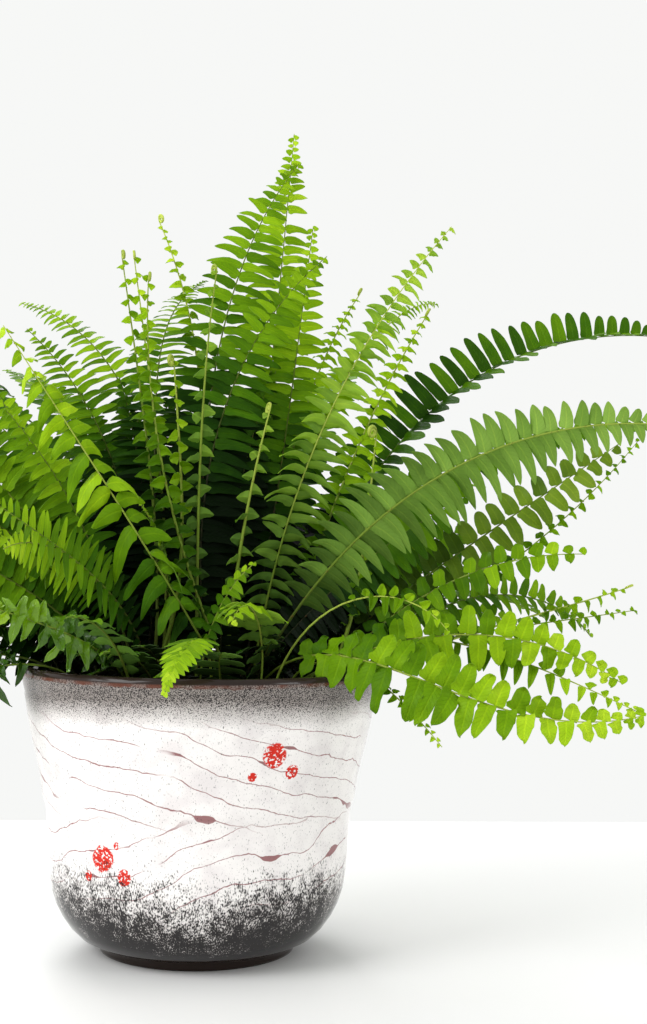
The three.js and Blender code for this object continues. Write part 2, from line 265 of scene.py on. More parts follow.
def veins(climbs, spacing, sway, shift, low, high):
    """The share of veins in one belt, from wandering lines that climb or fall as they go round the pot."""
    climb = times(tree, angle, climbs / math.tau)
    steady = plus(tree, calc(tree, "DIVIDE", height, spacing), climb)
    bends = times(tree, clouds(tree, place, 11, shift, 2.0), sway)
    kinks = times(tree, clouds(tree, place, 75, shift + 1, 2.0), VEIN_KINKS)
    line = calc(tree, "FRACT", plus(tree, steady, plus(tree, bends, kinks)))
    away = times(tree, calc(tree, "ABSOLUTE", minus(tree, line, 0.5)), spacing)
    half = ease(tree, clouds(tree, place, 34, shift + 3, 1.0), 0.62, 0.77, *VEIN_HALF_WIDTHS)
    ragged = times(tree, clouds(tree, place, 420, shift + 5), VEIN_RAGGEDNESS)
    drawn = ease(tree, minus(tree, plus(tree, half, ragged), away), 0.0, VEIN_EDGE)
    there = ease(tree, clouds(tree, place, 22, shift + 7, 1.0), 0.36, 0.42)
    above = ease(tree, height, low, low + BELT_FADE)
    below = ease(tree, height, high, high - BELT_FADE)
    return times(tree, times(tree, drawn, there), times(tree, above, below))


falling, rising = [veins(*belt) for belt in VEIN_BELTS]
vein_share = calc(tree, "MAXIMUM", falling, rising)

# The splashes are small round pools of red glaze in loose groups, with ragged edges and pinholes.
SPLASHES = [
    # angle from the front to the right in degrees, height and radius in millimetres
    (24, 141, 8), (31, 130, 4.6), (17, 128, 3),
    (-36, 74, 8.6), (-27, 64, 5.2), (-43, 62, 3.4), (-30, 83, 2.4),
    (118, 80, 8), (128, 70, 4.4), (-128, 134, 8.4), (-118, 124, 5), (176, 118, 7), (168, 107, 4),
]
POT_RADIUS = 0.108
SPLASH_WOBBLE = 0.5
SPLASH_EDGE = (1.3, 1.16)
PINHOLES = (0.62, 0.56)

splash_share = 0.0
wobble = times(tree, clouds(tree, place, 160, 31.0, 3.0), SPLASH_WOBBLE)
for splash_angle, splash_height, splash_radius in SPLASHES:
    off_angle = minus(tree, angle, math.radians(splash_angle))
    across = times(tree, off_angle, POT_RADIUS / (splash_radius * MM))
    up = calc(tree, "DIVIDE", minus(tree, height, splash_height * MM), splash_radius * MM)
    square = plus(tree, times(tree, across, across), times(tree, up, up))
    reach = plus(tree, calc(tree, "SQRT", square), wobble)
    splash_share = calc(tree, "MAXIMUM", splash_share, ease(tree, reach, *SPLASH_EDGE))
splash_share = times(tree, splash_share, ease(tree, clouds(tree, place, 620, 37.0, 1.0), *PINHOLES))

# The share of dark flecks falls off evenly with the height above the foot, and with the depth below the lip.
FOOT_BELT = (0.0, 0.0755)
FOOT_LIMITS = (0.133, 0.692)
FOOT_SOFTNESS = 0.09
LIP_BELT = (0.152, 0.174)
LIP_LIMITS = (0.74, 0.50)
LIP_SOFTNESS = 0.08
FLECK_STRETCH = 0.45
FLECK_OPACITY = 0.97

uneven = times(tree, minus(tree, clouds(tree, place, 14, 41.0), 0.5), 0.06)
blotchy = times(tree, minus(tree, clouds(tree, place, 150, 42.0), 0.5), 0.05)
foot_height = plus(tree, plus(tree, height, uneven), blotchy)
lip_height = minus(tree, height, times(tree, uneven, 0.3))
streaked = shade(tree, "Mapping", {"Vector": place, "Scale": (1.0, 1.0, FLECK_STRETCH)})
foot_limit = slope(tree, foot_height, *FOOT_BELT, *FOOT_LIMITS)
foot_flecks = minus(tree, clouds(tree, streaked, 1300, 43.0, 2.5), foot_limit)
lip_limit = slope(tree, lip_height, *LIP_BELT, *LIP_LIMITS)
lip_flecks = minus(tree, clouds(tree, place, 1500, 45.0, 2.0), lip_limit)
fleck_share = calc(
    tree,
    "MAXIMUM",
    ease(tree, foot_flecks, -FOOT_SOFTNESS, FOOT_SOFTNESS),
    ease(tree, lip_flecks, -LIP_SOFTNESS, LIP_SOFTNESS),
)

# From the body outwards: lilac patches, grey smoke at lip and foot, veins, splashes and flecks, then a rusty
# line below the lip, the brown lip itself and the bare foot.
MOST_LILAC = 0.35
LIP_SMOKE = (0.156, 0.175, 0.0, 0.95)
FOOT_SMOKE = (0.066, 0.022, 0.0, 0.7)
LIP_HEIGHT = 0.1832
RUST_LINE = (LIP_HEIGHT + 0.0006, LIP_HEIGHT + 0.0014)
RUST_PATCHES = (0.40, 0.62, 0.25, 0.9)
BROWN_LIP = (LIP_HEIGHT + 0.0010, LIP_HEIGHT + 0.0022)
BARE_FOOT = (0.0105, 0.0085)
RAGGED_LIP = 0.003

lilac_share = ease(tree, clouds(tree, place, 60, 47.0, 5.0), 0.42, 0.72, 0.0, MOST_LILAC)
white = blend(tree, lilac_share, GLAZE_WHITE, GLAZE_LILAC)
smoky = blend(tree, slope(tree, lip_height, *LIP_SMOKE), white, GLAZE_GREY)
sooty = blend(tree, ease(tree, foot_height, *FOOT_SMOKE), smoky, GLAZE_GREY)
veined = blend(tree, times(tree, vein_share, VEIN_OPACITY), sooty, VEIN_COLOUR)
splashed = blend(tree, splash_share, veined, SPLASH_RED)
speckled = blend(tree, times(tree, fleck_share, FLECK_OPACITY), splashed, GLAZE_DARK)
ragged_height = plus(tree, height, times(tree, clouds(tree, place, 200, 49.0), RAGGED_LIP))
rust_patches = ease(tree, clouds(tree, place, 60, 51.0), *RUST_PATCHES)
rust_share = times(tree, ease(tree, ragged_height, *RUST_LINE), rust_patches)
lipped = blend(tree, rust_share, speckled, GLAZE_RUST)
coloured = blend(tree, ease(tree, height, *BROWN_LIP), lipped, GLAZE_BROWN)
footed = blend(tree, ease(tree, height, *BARE_FOOT), coloured, GLAZE_BROWN)
soft_patches = ease(tree, clouds(tree, place, 60, 53.0), 0.3, 0.7, *GLAZE_ROUGHNESS)
relief = minus(tree, times(tree, clouds(tree, place, 90, 59.0), 0.6), vein_share)
coat(tree, surface, footed, soft_patches, GLAZE_SHINE, {**GLAZE_BUMP, "Height": relief})

INSIDE_BROWN = (0.07, 0.03, 0.02, 1)
INSIDE_ROUGHNESS = 0.2

inside_glaze, tree, surface = finish_of("inside_glaze")
mottle = clouds(tree, shade(tree, "TexCoord", output="Object"), 80, 5.0)
coat(tree, surface, blend(tree, mottle, GLAZE_BROWN, INSIDE_BROWN), INSIDE_ROUGHNESS)

planter = piece_from("planter", clay, [glaze, inside_glaze])
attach(planter, "root")
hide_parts("pot")

# The potting mix: dark peat that fills the planter to a finger's width below the lip, with crumbs of peat and
# chips of bark loose on top of it. It is poured in and pressed down by hand.
MIX_PROFILE = [(0, 12.4), (61.5, 12.4), (83, 24.5), (91.2, 42), (96.6, 98), (104.1, 136), (108.2, 160)]
MIX_TOP = 164.0
MIX_TOP_RADIUS = 98
MIX_RING = 4
MIX_STEPS = 72
MIX_SWELLS = ((60, 0.0035), (190, 0.002))  # how close and how high the swells of its top are
STREWN_RADIUS = 0.106
STREWN_TILT = 0.6
SUNK_SHARE = 0.3
CRUMBS = 420
CRUMB_SIZES = (0.0012, 0.0034)
CHIPS = 70
CHIP_SIZES = (0.003, 0.008)
CHIP_ROUGHNESS = 0.12
PEAT_DARK = (0.007, 0.005, 0.004, 1)
PEAT_LIGHT = (0.06, 0.036, 0.02, 1)
PEAT_ROUGHNESS = 0.95
PEAT_BUMP = {"Strength": 0.7, "Distance": 0.001}

rings = [(radius, MIX_TOP) for radius in range(MIX_TOP_RADIUS, -1, -MIX_RING)] + [(0, MIX_TOP)]
earth = spun_body(MIX_PROFILE + rings, MIX_STEPS)
for vert in earth.verts:
    if vert.co.z > (MIX_TOP - 1) * MM:
        vert.co.z += sum(swell * noise.noise(vert.co * closeness) for closeness, swell in MIX_SWELLS)
draw = random.Random(5)


def strewn(size):
    """A random seat on top of the mix, for a crumb or a chip of that size in metres."""
    reach = STREWN_RADIUS * math.sqrt(draw.random())
    around = draw.uniform(0, math.tau)
    spot = (reach * math.cos(around), reach * math.sin(around), MIX_TOP * MM + SUNK_SHARE * size)
    swivelled = Matrix.Rotation(draw.uniform(0, math.tau), 4, "Z")
    tipped = Matrix.Rotation(draw.uniform(-STREWN_TILT, STREWN_TILT), 4, "X")
    return Matrix.Translation(spot) @ swivelled @ tipped


for _ in range(CRUMBS):
    size = draw.uniform(*CRUMB_SIZES)
    crumb = bmesh.ops.create_icosphere(earth, subdivisions=1, radius=size)
    squash = Matrix.Diagonal((1, draw.uniform(0.7, 1), draw.uniform(0.5, 0.9), 1))
    bmesh.ops.transform(earth, matrix=strewn(size) @ squash, verts=crumb["verts"])
for _ in range(CHIPS):
    size = draw.uniform(*CHIP_SIZES)
    chip = bmesh.ops.create_cube(earth, size=size)
    for vert in chip["verts"]:
        jolt = Vector((draw.uniform(-1, 1), draw.uniform(-1, 1), draw.uniform(-1, 1)))
        vert.co += jolt * size * CHIP_ROUGHNESS
    flat = Matrix.Diagonal((1, draw.uniform(0.3, 0.6), draw.uniform(0.2, 0.35), 1))
    bmesh.ops.transform(earth, matrix=strewn(size) @ flat, verts=chip["verts"])
for face in earth.faces:
    face.smooth = True

peat, tree, surface = finish_of("peat_and_bark")
place = shade(tree, "TexCoord", output="Object")
crumbly = ease(tree, clouds(tree, place, 300, 3.0, 4.0), 0.35, 0.7)
earthy = blend(tree, crumbly, PEAT_DARK, PEAT_LIGHT)
lumps = clouds(tree, place, 500, 9.0, 4.0)
coat(tree, surface, earthy, PEAT_ROUGHNESS, bump={**PEAT_BUMP, "Height": lumps})
mix = piece_from("potting_mix", earth, [peat])
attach(mix, "root")
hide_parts("soil")

# The leaves: thin and smooth, with a pale midrib and faint forked veins, paler and duller underneath. Each
# leaflet carries a tone, from 0 for the darkest, old and with painted shade, to 1 for the yellow green of a
# new one.
LEAF_GREENS = [
    (0.00, (0.0015, 0.0080, 0.0003)),
    (0.20, (0.0110, 0.0480, 0.0006)),
    (0.40, (0.0520, 0.1550, 0.0015)),
    (0.60, (0.1600, 0.3300, 0.0030)),
    (0.80, (0.3500, 0.5700, 0.0100)),
    (1.00, (0.6200, 0.8100, 0.0500)),
]
BROAD_GREENS = [
    (0.00, (0.0100, 0.0260, 0.0030)),
    (0.40, (0.0800, 0.1600, 0.0200)),
    (0.60, (0.1900, 0.3450, 0.0480)),
    (1.00, (0.3600, 0.5600, 0.1100)),
]
OLIVE_GREENS = [
    (0.00, (0.0080, 0.0180, 0.0010)),
    (0.40, (0.0620, 0.1320, 0.0040)),
    (0.60, (0.1750, 0.2900, 0.0150)),
    (1.00, (0.4200, 0.5400, 0.0900)),
]
VEIN_GREEN = (0.010, 0.050, 0.001, 1)
MIDRIB_LIGHTENING = (2.2, 1.8, 1.6, 1)
UNDERSIDE_GREEN = (0.27, 0.40, 0.13, 1)
UNDERSIDE_PALER = 0.50
SHINE_THROUGH_TINT = (1.45, 1.30, 0.30, 1)
TONE_PATCHES = 0.20
VEIN_PAIRS = 11.0
VEIN_SLANT = 1.7
VEIN_STRENGTH = 0.07
VEIN_DEPTH = -0.5
MIDRIB_STRENGTH = 0.20
LINE_EDGES = (0.16, 0.04)  # where a vein or a midrib starts beside its middle, and where it is full
LEAF_BUMP = 0.5
PALE_BUMP = 0.3
VEIN_HEIGHT = 0.0005


def ramp(tree, share, stops):
    made = tree.nodes.new("ShaderNodeValToRGB")
    tree.links.new(share, made.inputs[0])
    while len(made.color_ramp.elements) < len(stops):
        made.color_ramp.elements.new(1.0)
    for element, (position, colour) in zip(made.color_ramp.elements, stops):
        element.position = position
        element.color = (*colour, 1)
    return made.outputs[0]


def product(tree, first, second):
    settings = {"data_type": "RGBA", "blend_type": "MULTIPLY"}
    return shade(tree, "Mix", {0: 1.0, 6: first, 7: second}, output=2, **settings)


def leaf_skin(name, greens, roughness, shine, through, pale=False):
    """One side of a leaf. through is the share of the light that it lets through."""
    material, tree, surface = finish_of(name)
    place = shade(tree, "TexCoord", output="Object")
    unwrapped = shade(tree, "TexCoord", output="UV")
    across = shade(tree, "SeparateXYZ", {0: unwrapped}, output="X")
    along = shade(tree, "SeparateXYZ", {0: unwrapped}, output="Y")
    off_middle = times(tree, calc(tree, "ABSOLUTE", minus(tree, across, 0.5)), 2.0)
    tone = shade(tree, "Attribute", output="Fac", attribute_name="tone")
    patches = times(tree, minus(tree, clouds(tree, place, 70, 2.0, 3.0), 0.5), TONE_PATCHES)
    green = ramp(tree, plus(tree, tone, patches), greens)
    forked = minus(tree, times(tree, along, VEIN_PAIRS), times(tree, off_middle, VEIN_SLANT))
    to_vein = calc(tree, "ABSOLUTE", minus(tree, calc(tree, "FRACT", forked), 0.5))
    vein = ease(tree, to_vein, *LINE_EDGES)
    midrib = ease(tree, off_middle, *LINE_EDGES)
    dimmed = blend(tree, times(tree, vein, VEIN_STRENGTH), green, VEIN_GREEN)
    ribbed = product(tree, green, MIDRIB_LIGHTENING)
    colour = blend(tree, times(tree, midrib, MIDRIB_STRENGTH), dimmed, ribbed)
    if pale:
        colour = blend(tree, times(tree, tone, UNDERSIDE_PALER), colour, UNDERSIDE_GREEN)
    height = minus(tree, times(tree, vein, VEIN_DEPTH), midrib)
    bump = {"Strength": PALE_BUMP if pale else LEAF_BUMP, "Distance": VEIN_HEIGHT, "Height": height}
    coat(tree, surface, colour, roughness, shine, bump)
    backlit = shade(tree, "BsdfTranslucent", {"Color": product(tree, colour, SHINE_THROUGH_TINT)})
    both = shade(tree, "MixShader", {0: through, 1: surface.outputs[0], 2: backlit})
    tree.links.new(both, tree.nodes["Material Output"].inputs["Surface"])
    return material


LEAF_SORTS = [
    # name, greens, the roughness, shine and light let through of the upper and the lower side, pale below
    ("mature", LEAF_GREENS, (0.45, 0.08, 0.34), (0.60, 0.05, 0.34), True),
    ("young", LEAF_GREENS, (0.48, 0.10, 0.48), (0.60, 0.10, 0.48), True),
    ("broad", BROAD_GREENS, (0.55, 0.20, 0.24), (0.60, 0.10, 0.34), False),
    ("olive", OLIVE_GREENS, (0.45, 0.14, 0.28), (0.60, 0.15, 0.28), True),
    ("glossy", LEAF_GREENS, (0.22, 0.60, 0.22), (0.40, 0.18, 0.22), True),
]
MATURE, YOUNG, BROAD, OLIVE, GLOSSY = [
    (leaf_skin(name + "_leaf_top", greens, *top), leaf_skin(name + "_leaf_underside", greens, *below, pale))
    for name, greens, top, below, pale in LEAF_SORTS
]

# The stalks: thin and tough, green to tan, with short brown scales scattered along them, and darkened by the
# same painted shade as the leaflets. Each comes up out of the mix, arches over under its own weight and
# carries the leaflets on both sides.
STALK_GREENS = [(0.0, (0.012, 0.016, 0.002)), (0.5, (0.110, 0.180, 0.010)), (1.0, (0.50, 0.60, 0.09))]
SCALE_BROWN = (0.12, 0.045, 0.012, 1)
SCALE_OPACITY = 0.6
STALK_ROUGHNESS = 0.6
STALK_SHINE = 0.2
STALK_BUMP = {"Strength": 0.6, "Distance": 0.0004}

stalk_skin, tree, surface = finish_of("stalk")
place = shade(tree, "TexCoord", output="Object")
stalk_tone = shade(tree, "Attribute", output="Fac", attribute_name="tone")
scales = ease(tree, clouds(tree, place, 900, 6.0, 2.0), 0.60, 0.68)
green = ramp(tree, stalk_tone, STALK_GREENS)
scaly = blend(tree, times(tree, scales, SCALE_OPACITY), green, SCALE_BROWN)
coat(tree, surface, scaly, STALK_ROUGHNESS, STALK_SHINE, {**STALK_BUMP, "Height": scales})

# The fronds: each is one stalk with its leaflets, and leaves the mix at a place of its own. The line of its
# stalk is that of its solid, and comes from the same sizes in millimetres and degrees.
Frond = collections.namedtuple(
    "Frond",
    "name x y azimuth lean length arch sweep turn fold bare half_width kind cut spacing tone bend lift twist",
    defaults=["late", 0, 0],
)
# x and y are its place on the mix. It starts out by lean from upright, towards azimuth. On its way it arches
# over by arch, early or late, sweeps sideways by sweep and lifts its tip again by lift. turn rolls its blade
# about the stalk and twist rolls it on. fold raises its leaflets into a trough, bare is the length without
# leaflets, and half_width the length of the longest one.
ROOT_DEPTH = 13
LATE_BEND = 1.4
EARLY_BEND = 3
LINE_STEPS = 160


def stalk_axes(frond, share):
    """The stalk's right, its direction and its upper face at a share of its length."""
    bent = 1 - (1 - share) ** EARLY_BEND if frond.bend == "early" else share**LATE_BEND
    polar = math.radians(frond.lean + frond.arch * bent - frond.lift * share**2)
    around = math.radians(frond.azimuth + frond.sweep * share**2)
    along = Vector((math.sin(polar) * math.cos(around), math.sin(polar) * math.sin(around), math.cos(polar)))
    level = Vector((-math.sin(around), math.cos(around), 0))
    above = along.cross(level)
    roll = math.radians(frond.turn + frond.twist * share)
    side = level * math.cos(roll) + above * math.sin(roll)
    upper = above * math.cos(roll) - level * math.sin(roll)
    return Matrix((-side, along, upper)).transposed()


def stalk_line(frond):
    """The points of the stalk from the top of the mix to its tip, in millimetres."""
    points = [Vector((frond.x, frond.y, MIX_TOP))]
    for i in range(LINE_STEPS):
        along = stalk_axes(frond, (i + 0.5) / LINE_STEPS).col[1]
        points.append(points[-1] + along * frond.length / LINE_STEPS)
    return points


def seat_on(frond, line, share):
    """The place and the axes on the stalk at a share of its length, as a matrix in metres."""
    step = min(LINE_STEPS, int(share * LINE_STEPS))
    axes = stalk_axes(frond, share)
    point = line[step] + axes.col[1] * (share - step / LINE_STEPS) * frond.length
    return Matrix.Translation(point * MM) @ axes.to_4x4()


# The leaflets: thin, soft blades that sit on both sides of the stalk, each on a short foot. Those of one
# frond share a cut, and every one is a little different from its neighbours.
Cut = collections.namedtuple(
    "Cut", "widens foot fall square ear sickle droop cup teeth limp wave fill forward tilt loose taper"
)
CUTS = {
    # the share of the length over which the blade widens, its width at the foot, two powers by which its
    # sides fall to the tip, the ear at its foot towards the frond's tip, its sideways curve, droop, cup and
    # teeth, how far it hangs by its weight, how wavy it is, how much of its room it fills, how many degrees
    # it leans to the frond's tip and up to the light, how unlike they are, and how late they start to shorten
    "pointed": Cut(0.10, 0.75, 2.4, 0.62, 0.25, 0.06, 0.08, 0.25, 0.0, 0.15, 0.07, 0.96, 7, 8, 0.9, 3.4),
    "blunt": Cut(0.06, 0.90, 3.2, 0.50, 0.12, 0.02, 0.06, 0.20, 0.0, 0.03, 0.04, 0.94, 0, 4, 0.4, 5.0),
    "tongue": Cut(0.06, 0.88, 3.0, 0.50, 0.20, 0.05, 0.14, 0.25, 0.05, 0.08, 0.16, 1.04, 3, 6, 1.2, 2.8),
    "paddle": Cut(0.10, 0.78, 3.2, 0.52, 0.12, 0.05, 0.16, 0.30, 0.0, 0.10, 0.10, 0.86, 4, 8, 1.1, 7.0),
    "oval": Cut(0.12, 0.70, 1.7, 0.62, 0.28, 0.08, 0.12, 0.55, 0.0, 0.22, 0.08, 0.66, 14, 12, 2.0, 2.3),
    "broad": Cut(0.06, 0.92, 2.2, 0.64, 0.15, 0.14, 0.14, 0.30, 0.0, 0.18, 0.05, 1.12, 10, 8, 0.6, 2.8),
    "toothed": Cut(0.15, 0.60, 3.0, 0.65, 0.15, 0.08, 0.10, 0.25, 0.26, 0.20, 0.10, 1.05, 20, 0, 1.0, 2.3),
    "sawn": Cut(0.20, 1.00, 2.0, 0.74, 0.0, 0.08, 0.05, 0.10, 0.0, 0.04, 0.03, 1.70, 30, 0, 0.3, 2.0),
    "fine": Cut(0.08, 0.85, 2.2, 0.66, 0.15, 0.05, 0.12, 0.18, 0.0, 0.14, 0.05, 0.88, 10, 16, 0.8, 3.4),
    "narrow": Cut(0.08, 0.85, 2.4, 0.60, 0.10, 0.03, 0.06, 0.10, 0.0, 0.10, 0.03, 0.62, 6, 40, 0.6, 3.4),
    "hanging": Cut(0.16, 0.50, 2.3, 0.62, 0.25, 0.16, 0.24, -0.30, 0.0, 0.62, 0.12, 0.86, 2, 14, 2.2, 3.2),
    "ruffled": Cut(0.08, 0.80, 2.2, 0.62, 0.28, 0.10, 0.22, 0.40, 0.0, 0.30, 0.16, 0.88, 14, 16, 1.7, 3.0),
    "curly": Cut(0.10, 0.75, 2.6, 0.60, 0.30, 0.18, 0.34, 0.55, 0.0, 0.18, 0.20, 0.98, 8, 15, 2.4, 4.0),
}
BLADE_THICKNESS = 0.00035
LONG_LEAFLET = 0.014
LONG_STEPS = 9
SHORT_STEPS = 6
LEAF_ACROSS = 2
TIP_WIDTH = 0.04
EAR_PLACE = 0.09
EAR_REACH = 0.07
WAVES = 9.0
SICKLE_SPREAD = 0.08
DROOP_SPREAD = 0.8
LIMP_SPREAD = (0.55, 1.45)
LIMP_SHORTENS = 0.3


def add_leaflet(leaves, seat, hand, length, width, cut, tone, draw):
    """One leaflet as a sheet. seat has its foot, with axes along the frond, outwards and up."""
    tone_layer = leaves.verts.layers.float["tone"]
    steps = LONG_STEPS if length > LONG_LEAFLET else SHORT_STEPS
    squares = {"x_segments": LEAF_ACROSS, "y_segments": steps, "size": 0.5}
    sheet = bmesh.ops.create_grid(leaves, calc_uvs=True, **squares)
    phase = draw.uniform(0, math.tau)
    sickle = cut.sickle + SICKLE_SPREAD * cut.loose * draw.uniform(-1, 1)
    droop = cut.droop * (1 + DROOP_SPREAD * cut.loose * draw.uniform(-1, 1))
    limp = cut.limp * draw.uniform(*LIMP_SPREAD)
    for vert in sheet["verts"]:
        across = 2 * vert.co.x
        station = round((vert.co.y + 0.5) * steps)
        along = (1 - math.cos(math.pi * station / steps)) / 2
        rise = min(1, cut.foot + (1 - cut.foot) * along / cut.widens)
        half = width / 2 * max(TIP_WIDTH, rise * (1 - along**cut.fall) ** cut.square)
        if across * hand < 0:
            half *= 1 + cut.ear * math.exp(-(((along - EAR_PLACE) / EAR_REACH) ** 2))
        if station % 2:
            half *= 1 - cut.teeth
        sideways = across * half - hand * sickle * length * along**2
        ripple = cut.wave * width * math.sin(WAVES * along + phase) * across
        lift = cut.cup * abs(across) * half - droop * length * along**2 + ripple
        outward = along * length * (1 - LIMP_SHORTENS * limp * along)
        vert.co = seat @ Vector((sideways, outward, lift))
        vert.co.z -= limp * length * along**2
        vert[tone_layer] = tone


# How the leaflets change along a frond: they are shorter at its foot and tip, closer together at a full-grown
# tip, and darker towards its old foot. Below a dome over the planter, and more so behind its open front,
# painted shade lowers their tone.
GROWN = ("mature", "round")
FIRST_SIZE = 0.5
FULL_AT = 0.28
TIP_FALL = 0.9
LEAST_SIZE = {True: 0.12, False: 0.17}
TIP_SPACING = {True: 0.50, False: 0.85}
SPACING_HOLDS = 1.6
TIP_FILL = 0.45
FILL_GROWS = 0.75
LEAST_LENGTH = 0.9
WIDTH_SPREAD = (0.92, 1.08)
LENGTH_SPREAD = (0.90, 1.07)
ROOM_SPREAD = (0.94, 1.06)
FORWARD_AT_TIP = 22
FORWARD_SPREAD = 8
FOLD_SPREAD = 10
TILT_SPREAD = 16
FOOT_GAP = 0.0005
LOST_SHARE = 0.02
TONE_RISE = 0.36
TONE_MIDDLE = 0.55
TONE_SPREAD = 0.12
DOME_BACK = 0.03
DOME_REACH = 0.165
DOME_RISE = 0.27
SHADE_GROWS = 0.15
SHADE_DEPTH = 0.52
YOUNG_SHADE = 0.5
OPEN_FRONT = -0.085
SHADED_BACK = -0.010


def tone_with_painted_shade(frond, share, spot):
    """The tone at a share of a frond's length, with painted shade where that spot lies deep below the dome.
    """
    tone = frond.tone + TONE_RISE * (share - TONE_MIDDLE)
    away = math.hypot(spot.x, spot.y - DOME_BACK) / DOME_REACH
    dome = MIX_TOP * MM + DOME_RISE * max(0, 1 - away**2)
    below = min(1, max(0, (dome - spot.z) / SHADE_GROWS))
    behind = min(1, max(0, (spot.y - OPEN_FRONT) / (SHADED_BACK - OPEN_FRONT)))
    depth = SHADE_DEPTH * (1 if frond.kind in GROWN else YOUNG_SHADE)
    return tone - depth * below * behind


def turned(degrees, axis):
    return Matrix.Rotation(math.radians(degrees), 4, axis)


def add_leaflets(leaves, frond, line, draw):
    """Both rows of leaflets of a frond, from its foot to its tip. Now and then one is lost."""
    cut = CUTS[frond.cut]
    grown = frond.kind in GROWN
    for hand in (1, -1):
        reached = frond.bare + frond.spacing * (0.5 if hand > 0 else 0.0)
        while reached < frond.length - 1:
            t = (reached - frond.bare) / (frond.length - frond.bare)
            full = (FIRST_SIZE + (1 - FIRST_SIZE) * min(1, t / FULL_AT)) * (1 - t**cut.taper) ** TIP_FALL
            full = max(LEAST_SIZE[grown], full)
            close = TIP_SPACING[grown]
            room = frond.spacing * (close + (1 - close) * min(1, SPACING_HOLDS * full))
            filled = frond.spacing * (TIP_FILL + FILL_GROWS * full)
            width = cut.fill * min(room, filled) * draw.uniform(*WIDTH_SPREAD)
            length = frond.half_width * full * draw.uniform(*LENGTH_SPREAD)
            length = max(length, LEAST_LENGTH * width)
            seat = seat_on(frond, line, reached / frond.length)
            facing = turned(-90 * hand, "Z")
            swing = cut.forward + FORWARD_AT_TIP * t**3 + FORWARD_SPREAD * cut.loose * draw.uniform(-1, 1)
            forward = turned(hand * swing, "Z")
            raised = turned(frond.fold + FOLD_SPREAD * cut.loose * draw.uniform(-1, 1), "X")
            tilted = turned(-hand * (cut.tilt + TILT_SPREAD * cut.loose * draw.uniform(-1, 1)), "Y")
            foot = Matrix.Translation((0, FOOT_GAP, 0))
            placed = seat @ facing @ forward @ raised @ tilted @ foot
            # The leaflet's tone carries the painted shade of its spot, and a random spread.
            tone = tone_with_painted_shade(frond, t, seat.translation) + draw.uniform(-TONE_SPREAD, TONE_SPREAD)
            if draw.random() > LOST_SHARE * cut.loose:
                add_leaflet(leaves, placed, -hand, length * MM, width * MM, cut, tone, draw)
            reached += room * draw.uniform(*ROOM_SPREAD)


# How a stalk is drawn: ring by ring, thinner to its tip. A young one ends in a coil, which rolls over its
# upper face, tightens as it goes and is thicker than the stalk.
STALK_SIDES = 6
STALK_STEP = 9
FEWEST_STEPS = 10
STALK_RADIUS = 1.0
TIP_RADIUS = 0.32
STALK_TAPER = 1.2
STALK_GROWTH = {"mature": 1, "round": 0.9, "young": 0.85, "curled": 1.25, "crozier": 1.6}
STALK_LIGHTER = {"mature": -0.10, "round": 0.02, "young": 0.0, "curled": 0.06, "crozier": 0.08}
STALK_BASE_TONE = 0.05
COIL_RADIUS = {"curled": 3.3, "crozier": 4.2}
COIL_STEPS = 22
COIL_TURNS = 1.55
COIL_END = 0.28
COIL_THICKNESS = 0.34
COIL_THINS = 0.5
COIL_SWELLS = 5


def coil_seats(last, kind):
    """The places and axes along a coil that goes on from the last one of its stalk."""
    seats = []
    seat = last.copy()
    bend = math.tau * COIL_TURNS / COIL_STEPS
    for i in range(COIL_STEPS):
        radius = COIL_RADIUS[kind] * MM * (1 - (1 - COIL_END) * i / COIL_STEPS)
        seat = seat @ Matrix.Rotation(bend / 2, 4, "X") @ Matrix.Translation((0, radius * bend, 0))
        seat = seat @ Matrix.Rotation(bend / 2, 4, "X")
        seats.append(seat)
    return seats


